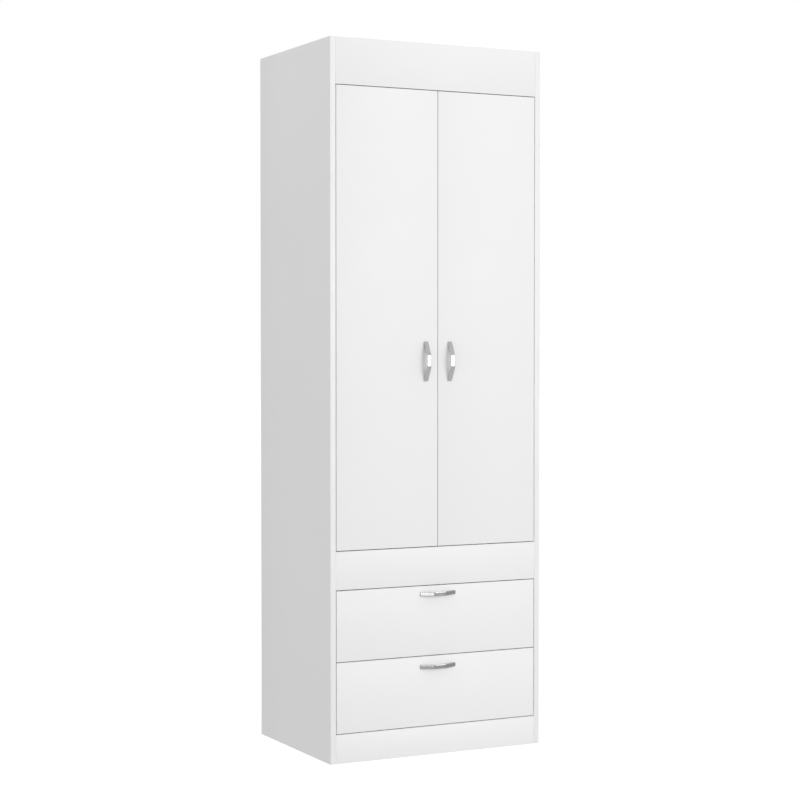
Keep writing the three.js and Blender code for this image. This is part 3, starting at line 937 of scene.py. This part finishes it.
def slotted_rail(node, web_is_low):
    """A rail with slots through its web, which is at its low or its high side along X."""
    piece = eased(node, RUNNER_FINISH, RAIL_EASE)
    low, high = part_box(node)
    web = low.x + WEB / 2 if web_is_low else high.x - WEB / 2
    slots = [
        (SLOT, Matrix.Translation((web, low.y + along, (low.z + high.z) / 2)))
        for along in SLOT_PLACES
    ]
    piece.data = carved(piece.data, slots)
    shade(piece.data)


def rail_screws(node, body, way):
    """Screws standing on a rail's web, their heads looking along X by way."""
    low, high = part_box(node)
    web = low.x + WEB if way > 0 else high.x - WEB
    screws = [
        (SMALL_SCREW, facing((web, low.y + along, (low.z + high.z) / 2), (way, 0, 0)))
        for along in SCREW_PLACES
    ]
    merged(node + "_screws", screws, SCREW_FINISH, body)


def runner_balls(key, sign):
    """The two rows of balls that a runner's cage carries."""
    low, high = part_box(f"{key}_cabinet_runner")
    x = low.x + BALL_OFF_WALL if sign < 0 else high.x - BALL_OFF_WALL
    middle_z = (low.z + high.z) / 2
    cage_low, cage_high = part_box(f"{key}_ball_cage")
    balls = []
    for step in range(BALLS_IN_ROW):
        y = cage_low.y + (cage_high.y - cage_low.y) * (step + 0.5) / BALLS_IN_ROW
        for way in (-1, 1):
            place = (x, y, middle_z + way * BALL_ROW_REACH)
            balls.append((BALL, Matrix.Translation(place)))
    merged(f"{key}_balls", balls, SCREW_FINISH, f"{key}_cage")


def dress_runners():
    for name in DRAWERS:
        for side, sign in SIDES.items():
            key = f"{name}_{side}"
            slotted_rail(f"{key}_cabinet_runner", sign < 0)
            slotted_rail(f"{key}_drawer_runner", sign > 0)
            eased(f"{key}_ball_cage", CAGE_FINISH, CAGE_EASE)
            rail_screws(f"{key}_cabinet_runner", "carcass", -sign)
            rail_screws(f"{key}_drawer_runner", f"{name}_drawer", sign)
            runner_balls(key, sign)


# ---------- small fixings ----------


UPRIGHT_BOARDS = ("fascia_board", "mid_rail", "plinth_board")
CAM_INSET = 24 * MM
CAM_FROM_FRONT = 50 * MM
CAM_FROM_BACK = 60 * MM
# How far below an upright board's middle its cams are, as a share of its height.
CAM_DROP = 0.12
DRAWER_FIXING_HEIGHTS = (32 * MM, 98 * MM)
BACK_SCREW_INSET = 6 * MM
BACK_SCREW_PROUD = 0.05 * MM
NAIL_INSET = 6 * MM
NAILS_UP_SHEET = 9
NAILS_ALONG_BOARD = 5


def carcass_cams():
    """Cam discs near both ends of the level boards, underneath, and of the upright ones, behind."""
    shapes = []
    for board in LEVEL_BOARDS:
        low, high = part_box(board)
        for x in (low.x + CAM_INSET, high.x - CAM_INSET):
            for y in (low.y + CAM_FROM_FRONT, high.y - CAM_FROM_BACK):
                shapes.append((CAM_DISC, facing((x, y, low.z), DOWNWARDS)))
    for board in UPRIGHT_BOARDS:
        low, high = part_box(board)
        height = (low.z + high.z) / 2 - (high.z - low.z) * CAM_DROP
        for x in (low.x + CAM_INSET, high.x - CAM_INSET):
            shapes.append((CAM_DISC, facing((x, high.y, height), BACKWARDS)))
    return shapes


def dress_fittings():
    merged("carcass_cam_fittings", carcass_cams(), SCREW_FINISH, "carcass")
    for name in DRAWERS:
        body = f"{name}_drawer"
        cams, screws = [], []
        for side, sign in SIDES.items():
            low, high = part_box(f"{body}_{side}_side")
            inner, outer = (high.x, low.x) if sign < 0 else (low.x, high.x)
            for height in DRAWER_FIXING_HEIGHTS:
                place = (inner, low.y + CAM_INSET, low.z + height)
                cams.append((CAM_DISC, facing(place, (-sign, 0, 0))))
                x = outer + sign * BACK_SCREW_PROUD
                place = (x, high.y - BACK_SCREW_INSET, low.z + height)
                screws.append((SMALL_SCREW, facing(place, (sign, 0, 0))))
        merged(f"{body}_cam_fittings", cams, SCREW_FINISH, body)
        merged(f"{body}_back_screws", screws, SCREW_FINISH, body)


def dress_back_nails():
    """Nails round each hardboard sheet, into the board edges behind it."""
    shapes = []
    for sheet in BACK_SHEETS:
        low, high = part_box(sheet)
        for step in range(NAILS_UP_SHEET):
            z = low.z + (high.z - low.z) * (step + 0.5) / NAILS_UP_SHEET
            for x in (low.x + NAIL_INSET, high.x - NAIL_INSET):
                shapes.append((NAIL_HEAD, facing((x, high.y, z), BACKWARDS)))
    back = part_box("upper_back_panel")[1].y
    for board in LEVEL_BOARDS:
        low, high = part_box(board)
        for step in range(NAILS_ALONG_BOARD):
            x = low.x + (high.x - low.x) * (step + 0.5) / NAILS_ALONG_BOARD
            shapes.append((NAIL_HEAD, facing((x, back, (low.z + high.z) / 2), BACKWARDS)))
    merged("back_panel_nails", shapes, SCREW_FINISH, "carcass")


make_camera()
make_lights()
make_floor()
dress_boards()
dress_hardboard()
dress_handles()
dress_hinges()
dress_rod()
dress_catch()
dress_runners()
dress_fittings()
dress_back_nails()
